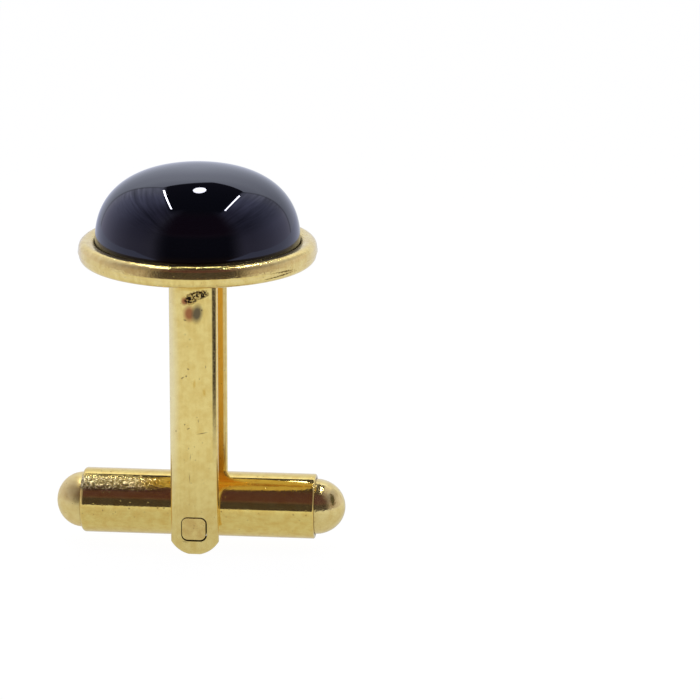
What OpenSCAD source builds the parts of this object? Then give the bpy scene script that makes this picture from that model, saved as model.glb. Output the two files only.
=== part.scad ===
// Toggle-back cufflink: a domed round stone in a rolled rim, on a two-legged post
// with a bullet-ended bar that turns between the legs.
// It stands on the ends of its legs. Z runs up through the stone's centre, the bar
// lies along X, and the legs are one in front (-Y) and one behind (+Y).

/* [Stone] */
// Diameter of the cabochon
stone_d = 14.0; // [13:0.1:15]
// Height of the dome above the stone's widest line
stone_rise = 5.35; // [4:0.05:6]
// Straight edge of the stone that sits down in the cup
stone_edge_h = 0.5; // [0.3:0.05:0.8]
// Fullness of the dome: 2 is an ellipse, more is fuller at the shoulder
dome_power = 2.44; // [2:0.02:3]

/* [Setting] */
// Outer diameter of the rolled rim
rim_d = 16.3; // [16.1:0.1:17.5]
// Radius of the rim's round shoulder
bead_r = 0.52; // [0.46:0.01:0.6]
// Lean of the rim's side in degrees: it widens from the shoulder down to the crease
side_lean = 7.5; // [3.75:3.75:11.25]
// Height of the rim from its lower edge to the top of the shoulder
rim_h = 1.5; // [1.4:0.02:1.8]
// Height of the crease above the rim's lower edge
crease_h = 0.67; // [0.6:0.01:0.75]
// How far the band under the crease is set in
band_inset = 0.07; // [0.04:0.01:0.15]
// Radius of the band's lower edge
band_edge_r = 0.5; // [0.2:0.02:0.55]
// Thickness of the cup's floor
floor_t = 0.6; // [0.4:0.05:0.7]
// Height of the rim's lower edge above the ends of the legs
rim_z = 20.18; // [18:0.1:22]

/* [Post] */
// Width of each leg
leg_w = 3.3; // [2.8:0.1:3.6]
// Thickness of each leg
leg_t = 0.9; // [0.8:0.05:1.1]
// Clear gap between the two legs
leg_gap = 4.7; // [4.66:0.02:5]
// Crown radius of a leg's outer face
leg_crown_r = 9.0; // [6:0.5:20]
// Radius of a leg's long outer edges
leg_edge_r = 0.3; // [0.1:0.02:0.35]
// Radius of the bends where the legs leave the strip soldered to the cup
bend_r = 0.5; // [0.3:0.1:0.8]

/* [Pivot] */
// Width of the flat-sided pivot pin
pin_w = 1.65; // [1.4:0.05:1.7]
// Height of the pivot pin
pin_h = 1.6; // [1.4:0.05:1.65]
// Radius of the pin's long corners
pin_corner_r = 0.4; // [0.3:0.05:0.5]
// Height of the pin's axis above the ends of the legs
pin_z = 1.9; // [1.7:0.05:2.1]
// How far the bar's axis lies above the pin's axis
bar_above_pin = 0.86; // [0.8:0.02:0.9]

/* [Toggle bar] */
// Diameter of the barrel
barrel_d = 4.5; // [4.4:0.02:4.5]
// Wall of the barrel
barrel_wall = 0.3; // [0.25:0.01:0.32]
// Length of the barrel without its tips
barrel_l = 16.24; // [14:0.1:18]
// Radius of the turned-in shoulder at the barrel's left end
shoulder_left_r = 0.28; // [0.1:0.02:0.28]
// Radius of the edge at the barrel's right end
shoulder_right_r = 0.12; // [0.1:0.02:0.28]
// How far the left tip stands out of the barrel
tip_left_out = 1.85; // [1.5:0.05:2.2]
// How far the right tip stands out of the barrel
tip_right_out = 2.05; // [1.5:0.05:2.2]
// Length of the plug of each tip inside the barrel
tip_plug_l = 1.6; // [1:0.1:2.5]

/* [Hidden] */

// How finely round shapes and the dome's outline are drawn
$fn = 96;
dome_steps = 24;

// Gaps that keep the pieces apart
stone_gap = 0.08;
bed_gap = 0.05;
pin_gap = 0.05;
turn_gap = 0.05;
tip_gap = 0.03;

// A cut runs this far past what it cuts
past = 1;

gold = "#d8bd6c";
black = "#101018";

stone_r = stone_d / 2;
rim_r = rim_d / 2;
cup_r = stone_r + stone_gap;
band_r = rim_r - band_inset;
bead_z = rim_z + rim_h - bead_r;
crease_z = rim_z + crease_h;

// The side runs straight from the shoulder, where it is tangent, to the crease
side_top_z = bead_z + bead_r * sin(side_lean);
side_top_r = rim_r - (side_top_z - crease_z) * tan(side_lean);
bead_middle_r = side_top_r - bead_r * cos(side_lean);

cup_floor_z = rim_z + floor_t;
stone_z = cup_floor_z + bed_gap;

leg_in_y = leg_gap / 2;
leg_out_y = leg_in_y + leg_t;
strip_z = rim_z - leg_t;

bar_z = pin_z + bar_above_pin;
barrel_r = barrel_d / 2;
barrel_in_r = barrel_r - barrel_wall;
tip_r = barrel_in_r - tip_gap;
barrel_end_x = barrel_l / 2;

// The foot of a leg is round about the pin, with a small flat to stand on
foot_flat_w = 0.8;
foot_r = norm([pin_z, foot_flat_w / 2]);

// The hole in the barrel lets the pin's corners go round
pin_sweep_r = norm([pin_w / 2 - pin_corner_r, pin_h / 2 - pin_corner_r]) + pin_corner_r;
turn_hole_r = pin_sweep_r + turn_gap;

// Point on a quarter of a full-shouldered ellipse, at angle a from its foot
function full_arc(a, r, h, power) = [
    r * pow(cos(a), 2 / power),
    h * pow(sin(a), 2 / power)
];

// A rectangle centred on the origin with true round corners
module round_rect(w, h, r) {
    square([w - 2 * r, h], center = true);
    square([w, h - 2 * r], center = true);
    for (sx = [-1, 1], sy = [-1, 1]) {
        translate([sx * (w / 2 - r), sy * (h / 2 - r)])
            circle(r);
    }
}

// Lays a shape drawn in X and Z into the XZ plane and thickens it from y0 to y1
module plate_y(y0, y1) {
    translate([0, y1, 0])
        rotate([90, 0, 0])
            linear_extrude(y1 - y0)
                children();
}

// Outline of the cup and its rolled rim, right of the axis
module rim_section() {
    difference() {
        union() {
            translate([bead_middle_r, bead_z])
                circle(bead_r);
            polygon([
                [0, crease_z],
                [rim_r, crease_z],
                [side_top_r, side_top_z],
                [bead_middle_r, bead_z],
                [0, bead_z]
            ]);
            translate([0, rim_z + band_edge_r])
                square([band_r, bead_z - rim_z - band_edge_r]);
            translate([0, rim_z])
                square([band_r - band_edge_r, rim_h / 2]);
            translate([band_r - band_edge_r, rim_z + band_edge_r])
                circle(band_edge_r);
        }
        translate([0, cup_floor_z])
            square([cup_r, rim_h]);
    }
}

module cup() {
    rotate_extrude()
        rim_section();
}

// Plan of the front leg: flat inside, crowned outside, with round outer edges
module leg_plan() {
    intersection() {
        translate([0, -leg_out_y + leg_crown_r])
            circle(leg_crown_r);
        union() {
            translate([-leg_w / 2, -leg_out_y + leg_edge_r])
                square([leg_w, leg_t - leg_edge_r]);
            translate([-leg_w / 2 + leg_edge_r, -leg_out_y])
                square([leg_w - 2 * leg_edge_r, leg_t]);
            for (side = [-1, 1]) {
                translate([side * (leg_w / 2 - leg_edge_r), -leg_out_y + leg_edge_r])
                    circle(leg_edge_r);
            }
        }
    }
}

// Face of a leg: straight sides down to a foot that is round about the pin
module leg_face() {
    translate([-leg_w / 2, pin_z])
        square([leg_w, strip_z - pin_z]);
    intersection() {
        translate([0, pin_z])
            circle(foot_r);
        translate([-leg_w / 2, 0])
            square([leg_w, 2 * pin_z]);
    }
}

module leg() {
    difference() {
        intersection() {
            linear_extrude(strip_z)
                leg_plan();
            plate_y(-leg_out_y - past, -leg_in_y + past)
                leg_face();
        }
        plate_y(-leg_out_y - past, -leg_in_y + past)
            translate([0, pin_z])
                round_rect(pin_w + 2 * pin_gap, pin_h + 2 * pin_gap, pin_corner_r + pin_gap);
    }
}

// The strip across the cup's back that both legs are bent from, seen from the side
module strip_section() {
    translate([-leg_out_y + bend_r, strip_z])
        square([2 * (leg_out_y - bend_r), leg_t]);
    translate([-leg_out_y, strip_z])
        square([2 * leg_out_y, leg_t - bend_r]);
    for (side = [-1, 1]) {
        translate([side * (leg_out_y - bend_r), strip_z + leg_t - bend_r])
            circle(bend_r);
    }
}

module strip() {
    translate([-leg_w / 2, 0, 0])
        rotate([90, 0, 90])
            linear_extrude(leg_w)
                strip_section();
}

// Cup, strip and both legs are soldered into one piece
module setting_post() {
    color(gold) {
        cup();
        strip();
        for (turn = [0, 180]) {
            rotate([0, 0, turn])
                leg();
        }
    }
}

module stone() {
    dome = [for (i = [0 : dome_steps]) full_arc(90 * i / dome_steps, stone_r, stone_rise, dome_power)];
    color(black)
        translate([0, 0, stone_z])
            rotate_extrude()
                polygon(concat(
                    [[0, 0], [stone_r, 0]],
                    [for (p = dome) [p.x, p.y + stone_edge_h]]
                ));
}

// Flat-sided pin with round corners, flush with the outside of both legs
module pivot_pin() {
    color(gold)
        plate_y(-leg_out_y, leg_out_y)
            translate([0, pin_z])
                round_rect(pin_w, pin_h, pin_corner_r);
}

// Half of the barrel's wall, from the middle out to one end, with a round outer edge
module barrel_half_section(edge_r) {
    translate([barrel_in_r, 0])
        square([barrel_wall, barrel_end_x - edge_r]);
    translate([barrel_in_r, 0])
        square([barrel_wall - edge_r, barrel_end_x]);
    intersection() {
        translate([barrel_r - edge_r, barrel_end_x - edge_r])
            circle(edge_r);
        translate([barrel_in_r, 0])
            square([barrel_wall, barrel_end_x]);
    }
}

// Moves a shape turned about Z onto the bar's axis, with its +Z end at the given side
module along_bar(side) {
    translate([0, 0, bar_z])
        rotate([0, side * 90, 0])
            children();
}

module toggle_barrel() {
    color(gold)
        difference() {
            along_bar(1)
                rotate_extrude() {
                    barrel_half_section(shoulder_right_r);
                    mirror([0, 1])
                        barrel_half_section(shoulder_left_r);
                }
            plate_y(-barrel_r - past, barrel_r + past)
                translate([0, pin_z])
                    circle(turn_hole_r);
        }
}

// Bullet tip: a round plug in the barrel and a domed end that stands out by the given length
module tip(side, out) {
    dome = [for (i = [0 : dome_steps]) full_arc(90 * i / dome_steps, tip_r, out, 2)];
    color(gold)
        along_bar(side)
            translate([0, 0, barrel_end_x])
                rotate_extrude()
                    polygon(concat([[0, -tip_plug_l], [tip_r, -tip_plug_l]], dome));
}

module toggle_tip_left() {
    tip(-1, tip_left_out);
}

module toggle_tip_right() {
    tip(1, tip_right_out);
}

setting_post();
stone();
pivot_pin();
toggle_barrel();
toggle_tip_left();
toggle_tip_right();
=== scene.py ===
import math
from functools import partial

import bmesh
import bpy
from mathutils import Matrix, Vector


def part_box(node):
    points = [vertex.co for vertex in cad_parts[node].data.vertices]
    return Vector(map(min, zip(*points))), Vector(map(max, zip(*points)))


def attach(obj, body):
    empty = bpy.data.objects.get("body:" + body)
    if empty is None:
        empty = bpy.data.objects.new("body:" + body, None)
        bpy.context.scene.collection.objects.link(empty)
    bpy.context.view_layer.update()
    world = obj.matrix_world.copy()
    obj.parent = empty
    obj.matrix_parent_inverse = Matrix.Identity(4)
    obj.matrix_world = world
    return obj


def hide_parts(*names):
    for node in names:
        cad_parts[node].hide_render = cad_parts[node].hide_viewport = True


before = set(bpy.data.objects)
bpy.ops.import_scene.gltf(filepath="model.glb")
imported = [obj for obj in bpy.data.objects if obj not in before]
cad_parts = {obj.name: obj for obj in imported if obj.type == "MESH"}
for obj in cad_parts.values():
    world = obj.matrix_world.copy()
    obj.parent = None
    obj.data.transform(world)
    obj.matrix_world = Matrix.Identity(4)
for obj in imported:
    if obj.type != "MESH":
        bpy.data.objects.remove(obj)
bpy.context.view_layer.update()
mm = 0.001
micron = 0.001 * mm


def hexLinear(code):
    # sRGB hex to the linear colour that the shaders take
    parts = [int(code[i:i + 2], 16) / 255 for i in (1, 3, 5)]
    return tuple(p / 12.92 if p <= 0.04045 else ((p + 0.055) / 1.055) ** 2.4 for p in parts) + (1.0,)


def addNode(tree, kind, inputs=(), out=0, stops=(), **settings):
    # Adds one node and sets it. Its inputs, in order or by name, each get a value or a link, and a
    # colour ramp gets its stops. Gives back one output by number or name, or all of them for None.
    # A kind without the word Node in it is a shader node
    node = tree.nodes.new(kind if "Node" in kind else "ShaderNode" + kind)
    for name, value in settings.items():
        setattr(node, name, value)
    for _ in stops[2:]:
        node.color_ramp.elements.new(1.0)
    for stop, (place, colour) in enumerate(stops):
        node.color_ramp.elements[stop].position = place
        node.color_ramp.elements[stop].color = colour + (1.0,)
    for socket, value in inputs.items() if isinstance(inputs, dict) else enumerate(inputs):
        if isinstance(value, bpy.types.NodeSocket):
            tree.links.new(value, node.inputs[socket])
        else:
            node.inputs[socket].default_value = value
    return node.outputs if out is None or not node.outputs else node.outputs[out]


def newMaterial(name):
    # an empty material, and the function that adds nodes to it
    material = bpy.data.materials.new(name)
    material.use_nodes = True
    material.node_tree.nodes.clear()
    return material, partial(addNode, material.node_tree)


def newMesh(name, points, faces, edges=()):
    mesh = bpy.data.meshes.new(name)
    mesh.from_pydata(points, edges, faces)
    return mesh


def addObject(name, data):
    thing = bpy.data.objects.new(name, data)
    bpy.context.scene.collection.objects.link(thing)
    return thing


# The sizes of the pieces, read off the frame
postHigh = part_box("setting_post")[1]
stoneLow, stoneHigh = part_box("stone")
pinLow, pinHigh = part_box("pivot_pin")
barrelLow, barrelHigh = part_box("toggle_barrel")
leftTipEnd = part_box("toggle_tip_left")[0].x
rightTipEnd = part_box("toggle_tip_right")[1].x
stoneMiddle = Vector((0, 0, (stoneLow.z + stoneHigh.z) / 2))

# Camera and light

camera = {
    "distance": 220 * mm,
    "azimuth": 4.5,
    "elevation": 15.89,
    "roll": 0.35,
    "aimRight": 10.39 * mm,  # the cufflink stands left of the frame's middle
    "aimHeight": 13.862 * mm,
    "focalPixels": 3205.6,
    "framePixels": 700,
    "sensor": 36,
    "clip": (0.01, 10),
}


def placeCamera():
    data = bpy.data.cameras.new("camera")
    data.sensor_width = camera["sensor"]
    data.lens = camera["focalPixels"] / camera["framePixels"] * camera["sensor"]
    data.clip_start, data.clip_end = camera["clip"]
    azimuth, elevation, roll = (math.radians(camera[k]) for k in ("azimuth", "elevation", "roll"))
    back = Vector((
        math.sin(azimuth) * math.cos(elevation),
        -math.cos(azimuth) * math.cos(elevation),
        math.sin(elevation),
    ))
    right = Vector((math.cos(azimuth), math.sin(azimuth), 0))
    up = back.cross(right)
    turnedRight = right * math.cos(roll) + up * math.sin(roll)
    turnedUp = up * math.cos(roll) - right * math.sin(roll)
    aim = right * camera["aimRight"] + Vector((0, 0, camera["aimHeight"]))
    place = Matrix((turnedRight, turnedUp, back)).transposed().to_4x4()
    place.translation = aim + back * camera["distance"]
    holder = addObject("camera", data)
    holder.matrix_world = place
    bpy.context.scene.camera = holder


# The panel that hangs at the back, +Y. It is drawn in the tent, and stands at its real distance too,
# so that the low bar mirrors its top
panel = {
    "y": 65 * mm,
    "outline": ((-66, 20), (66, 20), (38, 110.6), (0, 89.7), (-38, 110.6)),  # across and up, mm
    "faces": [(0, 1, 2, 3), (0, 3, 4)],
    "rise": (25.5 * mm, 94.5 * mm),  # heights between which it gets brighter
    "stops": [
        (0.00, (0.80, 0.84, 1.02)),
        (0.30, (0.78, 0.83, 0.98)),
        (0.55, (0.92, 0.97, 1.14)),
        (0.78, (1.16, 1.23, 1.40)),
        (1.00, (1.18, 1.24, 1.42)),
    ],
    # its edges in the tent: a half width that shrinks with height, a top that rises to both sides
    "sideEdge": (-0.33, 0.96),
    "topEdge": (0.55, 0.93),
    "sideSoft": (-0.01, 0.01),
    "topSoft": (-0.05, 0.06),
    "seamShade": (0.02, 0.07, 0.62, 1.0),
}

# Directions go out from the cufflink. Each range is from, to and the two values that it gives
tent = {
    "lampHigh": 89.5,  # mm above the table, like the places of the lamps across and back
    "strips": {
        "leftTube": ((-28.2, 36.9), (-24.2, -15.3)),
        "rightTube": ((29.6, 32.7), (30.5, -12.4)),
    },
    "stripWidth": 1.35 * mm,
    "stripRadiance": 48,
    "window": ((-2.2, 22.8), (-3.0, 40.4)),
    "windowWidth": 8.6 * mm,
    "windowRadiance": 17,
    # side walls from the dark front (0) round to the back (1)
    "walls": [
        (0.00, (0.10, 0.09, 0.12)),
        (0.08, (0.22, 0.20, 0.25)),
        (0.14, (0.29, 0.27, 0.34)),
        (0.25, (0.30, 0.28, 0.41)),
        (0.37, (0.33, 0.32, 0.47)),
        (0.50, (0.46, 0.46, 0.66)),
        (0.58, (0.55, 0.56, 0.80)),
        (0.66, (0.66, 0.68, 0.96)),
        (0.80, (0.76, 0.79, 1.10)),
        (0.89, (0.92, 0.95, 1.18)),
        (1.00, (0.94, 0.97, 1.20)),
    ],
    # low down the cloth catches light from the table
    "lowHeights": (0.60, 0.05),
    "lowRound": (0.08, 0.17, 0.0, 0.42),
    "lowColour": (0.68, 0.62, 0.72, 1),
    # the cloth hangs in folds that run from back to front, with one deep fold each side
    "foldScale": (17, 1.2, 1.0),
    "foldShade": (0.3, 0.7, 0.74, 1.24),
    "deepFold": 0.96,
    "deepShade": (0.02, 0.10, 0.72, 1.0),
    "rightShade": (0.96, 1.04, 1.0, 0.74),
    "foldsEnd": (3.0, 1.6, 0.0, 1.0),
    # the open front from low to high: near black at eye level and dull red above
    "front": [
        (0.40, (0.18, 0.10, 0.068)),
        (0.43, (0.085, 0.055, 0.050)),
        (0.46, (0.044, 0.035, 0.050)),
        (0.68, (0.044, 0.035, 0.050)),
        (0.73, (0.098, 0.052, 0.072)),
        (0.76, (0.080, 0.029, 0.052)),
        (0.93, (0.072, 0.028, 0.052)),
        (1.00, (0.060, 0.045, 0.050)),
    ],
    "frontWay": (0.139, -0.990, 0),
    "frontSpan": (0.56, 0.86),
    # the roof is open between the two tubes, and dark
    "slotSpan": (0.44, 0.38),
    "slotFront": (-0.40, -0.18),
    "slotColour": (0.035, 0.030, 0.045, 1),
    "nearZero": 0.001,
}


def lightTent():
    # What the metal and the stone mirror: a bright back wall, dimmer folded side walls, a dark roof
    # and the dark open front. The camera itself sees plain white.
    world = bpy.data.worlds.new("light tent")
    bpy.context.scene.world = world
    world.use_nodes = True
    world.node_tree.nodes.clear()
    add = partial(addNode, world.node_tree)
    toward = add("TexCoord", out="Generated")
    x, y, z = add("SeparateXYZ", (toward,), out=None)
    flat = add("CombineXYZ", (x, y))
    level = add("VectorMath", (flat,), out="Value", operation="LENGTH")
    across = add("Math", (x,), operation="ABSOLUTE")
    up, back = (add("Math", (way, tent["nearZero"]), operation="MAXIMUM") for way in (z, y))
    # slopes in the roof are over height, and slopes in the back wall over the distance back
    behind, roofAcross, roofSide, roofBack, wallSide, wallHigh = (
        add("Math", (part, whole), operation="DIVIDE")
        for part, whole in ((y, level), (x, up), (across, up), (y, up), (across, back), (z, back))
    )
    round01, height01 = (add("MapRange", (way, -1.0, 1.0)) for way in (behind, z))

    walls = add("ValToRGB", (round01,), stops=tent["walls"])
    low = add("MapRange", (z, *tent["lowHeights"]))
    aside = add("MapRange", (round01, *tent["lowRound"]))
    lift = add("Math", (low, aside), operation="MULTIPLY")
    wallColour = add("Mix", {0: lift, 6: walls, 7: tent["lowColour"]}, 2, data_type="RGBA")
    foldPlace = add("CombineXYZ", (roofAcross, roofBack))
    foldPlace = add("Mapping", {0: foldPlace, 3: tent["foldScale"]})
    folds = add("TexNoise", {"Vector": foldPlace, "Scale": 1.0, "Detail": 2})
    foldShade = add("MapRange", (folds, *tent["foldShade"]))
    deep = add("Math", (roofSide, tent["deepFold"]), operation="SUBTRACT")
    deep = add("Math", (deep,), operation="ABSOLUTE")
    deepShade = add("MapRange", (deep, *tent["deepShade"]))
    rightShade = add("MapRange", (roofAcross, *tent["rightShade"]))
    shade = add("Math", (foldShade, deepShade), operation="MULTIPLY")
    shade = add("Math", (shade, rightShade), operation="MULTIPLY")
    folded = add("MapRange", (roofSide, *tent["foldsEnd"]))
    shade = add("Mix", {0: folded, 2: 1.0, 3: shade}, data_type="FLOAT")
    cloth = add("VectorMath", {0: wallColour, "Scale": shade}, operation="SCALE")

    # the panel at the back, with a dark seam round it
    panelColour = add("ValToRGB", (wallHigh,), stops=panel["stops"])
    sideEdge = add("Math", (wallHigh, *panel["sideEdge"]), operation="MULTIPLY_ADD")
    sideRoom = add("Math", (sideEdge, wallSide), operation="SUBTRACT")
    topEdge = add("Math", (wallSide, *panel["topEdge"]), operation="MULTIPLY_ADD")
    topRoom = add("Math", (topEdge, wallHigh), operation="SUBTRACT")
    inSide = add("MapRange", (sideRoom, *panel["sideSoft"]))
    inTop = add("MapRange", (topRoom, *panel["topSoft"]))
    inPanel = add("Math", (inSide, inTop), operation="MULTIPLY")
    seam = add("Math", (sideRoom,), operation="ABSOLUTE")
    seamShade = add("MapRange", (seam, *panel["seamShade"]))
    room = add("Mix", {0: inPanel, 6: cloth, 7: panelColour}, 2, data_type="RGBA")
    room = add("VectorMath", {0: room, "Scale": seamShade}, operation="SCALE")

    front = add("ValToRGB", (height01,), stops=tent["front"])
    toFront = add("VectorMath", (flat, tent["frontWay"]), "Value", operation="DOT_PRODUCT")
    frontness = add("Math", (toFront, level), operation="DIVIDE")
    frontShare = add("MapRange", (frontness, *tent["frontSpan"]), interpolation_type="SMOOTHSTEP")
    room = add("Mix", {0: frontShare, 6: room, 7: front}, 2, data_type="RGBA")

    inSlot = add("MapRange", (roofSide, *tent["slotSpan"]))
    overTop = add("MapRange", (topRoom, *reversed(panel["topSoft"])))
    roofShare = add("Math", (inSlot, overTop), operation="MULTIPLY")
    skyward = add("MapRange", (roofBack, *tent["slotFront"]))
    roofShare = add("Math", (roofShare, skyward), operation="MULTIPLY")
    roofed = add("Mix", {0: roofShare, 6: room, 7: tent["slotColour"]}, 2, data_type="RGBA")
    mirrored = add("Background", (roofed, 1.0))
    plain = add("Background", ((1, 1, 1, 1), 1.0))
    fromCamera = add("LightPath", out="Is Camera Ray")
    both = add("MixShader", (fromCamera, mirrored, plain))
    add("OutputWorld", (both,))


def hangLamp(name, ends, width, radiance, shape="RECTANGLE"):
    # a flat lamp that reaches from one end to the other and faces the stone
    start, end = (Vector((x, y, tent["lampHigh"])) * mm for x, y in ends)
    middle = (start + end) / 2
    along = (end - start).normalized()
    facing = middle - stoneMiddle
    facing = (facing - along * facing.dot(along)).normalized()
    lamp = bpy.data.lights.new(name, "AREA")
    lamp.shape = shape
    lamp.size = (end - start).length
    lamp.size_y = width
    lamp.energy = radiance * math.pi * lamp.size * width
    if shape == "ELLIPSE":
        lamp.energy *= math.pi / 4
    holder = addObject(name, lamp)
    holder.matrix_world = Matrix((along, facing.cross(along), facing)).transposed().to_4x4()
    holder.matrix_world.translation = middle
    holder.visible_camera = False


def hangLamps():
    for name, ends in tent["strips"].items():
        hangLamp(name, ends, tent["stripWidth"], tent["stripRadiance"])
    hangLamp("roofWindow", tent["window"], tent["windowWidth"], tent["windowRadiance"], "ELLIPSE")


def glowingBoard(name, label, corners, faces, paint):
    # a board that the metal and the stone mirror, hidden from the camera. It lights nothing and
    # glows in the colour that paint makes out of the place on it
    mesh = newMesh(name, corners, faces)
    material, add = newMaterial(label)
    place = add("TexCoord", out="Object")
    glow = add("Emission", (paint(add, place),))
    add("OutputMaterial", (glow,))
    mesh.materials.append(material)
    board = addObject(name, mesh)
    board.visible_camera = False
    board.visible_diffuse = False
    board.visible_shadow = False
    return board


# The table top: a painted shadow makes it a little dimmer close under the cufflink, and it is bluer
# to both sides
table = {
    "x": (-240 * mm, 240 * mm),
    "y": (-104 * mm, 420 * mm),
    "near": (0.60, 0.62, 0.66, 1),
    "far": (0.76, 0.79, 0.84, 1),
    "side": (0.74, 0.78, 1.00, 1),
    "nearToFar": (4 * mm, 34 * mm),
    "toSide": (8 * mm, 60 * mm),
}


def layTable():
    (left, right), (front, back) = table["x"], table["y"]
    corners = [(left, front, 0), (right, front, 0), (right, back, 0), (left, back, 0)]

    def paint(add, place):
        out = add("VectorMath", (place,), "Value", operation="LENGTH")
        # painted shadow: dimmer near the middle, under the cufflink
        far = add("MapRange", (out, *table["nearToFar"]), interpolation_type="SMOOTHSTEP")
        shade = add("Mix", {0: far, 6: table["near"], 7: table["far"]}, 2, data_type="RGBA")
        x = add("SeparateXYZ", (place,))
        aside = add("Math", (x,), operation="ABSOLUTE")
        aside = add("MapRange", (aside, *table["toSide"]))
        return add("Mix", {0: aside, 6: shade, 7: table["side"]}, 2, data_type="RGBA")

    glowingBoard("tableTop", "table paper, as the metal mirrors it", corners, [(0, 1, 2, 3)], paint)


def standPanel():
    def paint(add, place):
        z = add("SeparateXYZ", (place,), 2)
        high = add("MapRange", (z, *panel["rise"]))
        return add("ValToRGB", (high,), stops=panel["stops"])

    corners = [(x * mm, panel["y"], z * mm) for x, z in panel["outline"]]
    label = "panel cloth, as the metal and the stone mirror it"
    glowingBoard("backPanel", label, corners, panel["faces"], paint)


# A narrow dark oval card at the right, black with a rust edge. Sizes are in mm
card = {
    "middle": (20.5, -2.2, 10.2),
    "halfWide": 2.5,
    "halfHigh": 6.6,
    "tilt": -33.0,
    "corners": 48,
    "stops": [
        (0.00, (0.05, 0.055, 0.04)),
        (0.70, (0.06, 0.060, 0.045)),
        (0.90, (0.12, 0.075, 0.04)),
        (1.00, (0.24, 0.14, 0.07)),
    ],
}


def standCard():
    def paint(add, place):
        out = add("VectorMath", (place,), "Value", operation="LENGTH")
        return add("ValToRGB", (out,), stops=card["stops"])

    angles = [2 * math.pi * i / card["corners"] for i in range(card["corners"])]
    corners = [(math.cos(a), 0, math.sin(a)) for a in angles]
    board = glowingBoard(
        "sideCard", "card, black with a rust edge", corners, [tuple(range(card["corners"]))], paint
    )
    board.scale = (card["halfWide"] * mm, mm, card["halfHigh"] * mm)
    board.rotation_mode = "ZYX"
    board.rotation_euler = (math.radians(card["tilt"]), 0, math.radians(90))
    board.location = Vector(card["middle"]) * mm


floor = {"reach": 1.5, "glow": 0.975, "colour": "#484848"}


def layFloor():
    # pale paper: it glows a little so that it stays white, and the contact shadow still shows
    far = floor["reach"]
    corners = [(-far, -far, 0), (far, -far, 0), (far, far, 0), (-far, far, 0)]
    mesh = newMesh("floor", corners, [(0, 1, 2, 3)])
    paper, add = newMaterial("paper, matt white")
    matt = add("BsdfDiffuse", (hexLinear(floor["colour"]),))
    glow = add("Emission", {1: floor["glow"]})
    paperLook = add("AddShader", (matt, glow))
    clear = add("BsdfTransparent")
    under = add("NewGeometry", out="Backfacing")
    # from below the paper is clear, so that the underside of the cufflink can be looked at
    look = add("MixShader", (under, paperLook, clear))
    add("OutputMaterial", (look,))
    mesh.materials.append(paper)
    sheet = addObject("floor", mesh)
    sheet.visible_glossy = False  # the metal mirrors the table top instead


# Materials

gold = {
    "rawAndPaintedBounce": "#f9c10a",
    "hollowShade": "#6e6344",
    "paleHighlight": "#fff2bd",
    "dirtAndPaintedReflection": "#2a1a10",
    "brown": "#a5653f",
    "grey": "#6f6248",
    "stainAndReflection": "#d6a832",
}

# What all the plating shares. Sizes are where they say mm, a range is from, to and its two values
plating = {
    "cloudSize": 0.5 * mm,
    "lineTint": 0.4,
    "tint": (0.55, 0.87),
    "crests": (0.47, 0.63),
    "pitSpacing": 0.36 * mm,
    "pitEdge": (0.17, 0.07),
    "pitDark": 0.3,
    "pitDeep": -0.15,
    "grainGaps": (0.3, 0.6, 0.7, 1.0),
    # painted bounce light: the orange mixed in where little was polished
    "rawAndPaintedBounce": (0.6, 1.0, 0.0, 0.75),  # how orange, by how little it was polished
    "lines": (0.3, 0.7),
    "lineDepth": 0.9 * micron,
    "darkRough": 0.35,
    "rawRough": 0.42,
    "metallic": (0.0, 1.0, 0.94, 0.7),
}

# Each finish: its two tints, the size of its grain in mm and its depth in micrometres, where the
# grain grows from a share of that to the whole, how much rougher it is and how much painted glint and
# shade it gets where grown, how drawing lines run, share of pits, least and most roughness
finishes = {
    "setting": {
        "name": "brass, polished and gold plated",
        "colour": "#f8df8c", "deep": "#edcf7a",
        "grain": 0.13, "grainDepth": 20.0,
        "grows": (("Z", 19.3, 20.2, 0.25), ("Z", 21.30, 21.50, 0.45)),
        "frost": 0.03, "paintedGlintAndShade": 0.0,
        "drawn": (6.0, 6.0, 0.35), "pits": 0.6, "rough": (0.07, 0.12),
    },
    "pin": {
        "name": "brass pin, filed flush and gold plated",
        "colour": "#f6db88", "deep": "#e3c172",
        "grain": 0.20, "grainDepth": 4.0, "grows": (), "frost": 0.0, "paintedGlintAndShade": 0.0,
        "drawn": (3.0, 3.0, 3.0), "pits": 0.4, "rough": (0.10, 0.16),
    },
    "barrel": {
        "name": "brass tube, polished and gold plated",
        "colour": "#f6db80", "deep": "#ecc96c",
        "grain": 0.17, "grainDepth": 62.0,
        "grows": (("X", -1.5, -4.4, 0.10), ("Z", 3.95, 4.15, 0.05), ("Z", 4.85, 4.68, 0.05)),
        "frost": 0.22, "paintedGlintAndShade": 0.8,
        "drawn": (1.2, 5.0, 5.0), "pits": 0.5, "rough": (0.05, 0.10),
    },
    "tip": {
        "name": "brass tips, turned, polished and gold plated",
        "colour": "#f7df92", "deep": "#eccf80",
        "grain": 0.16, "grainDepth": 10.0, "grows": (), "frost": 0.0, "paintedGlintAndShade": 0.0,
        "drawn": (1.5, 4.0, 4.0), "pits": 0.4, "rough": (0.07, 0.11),
    },
}

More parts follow.
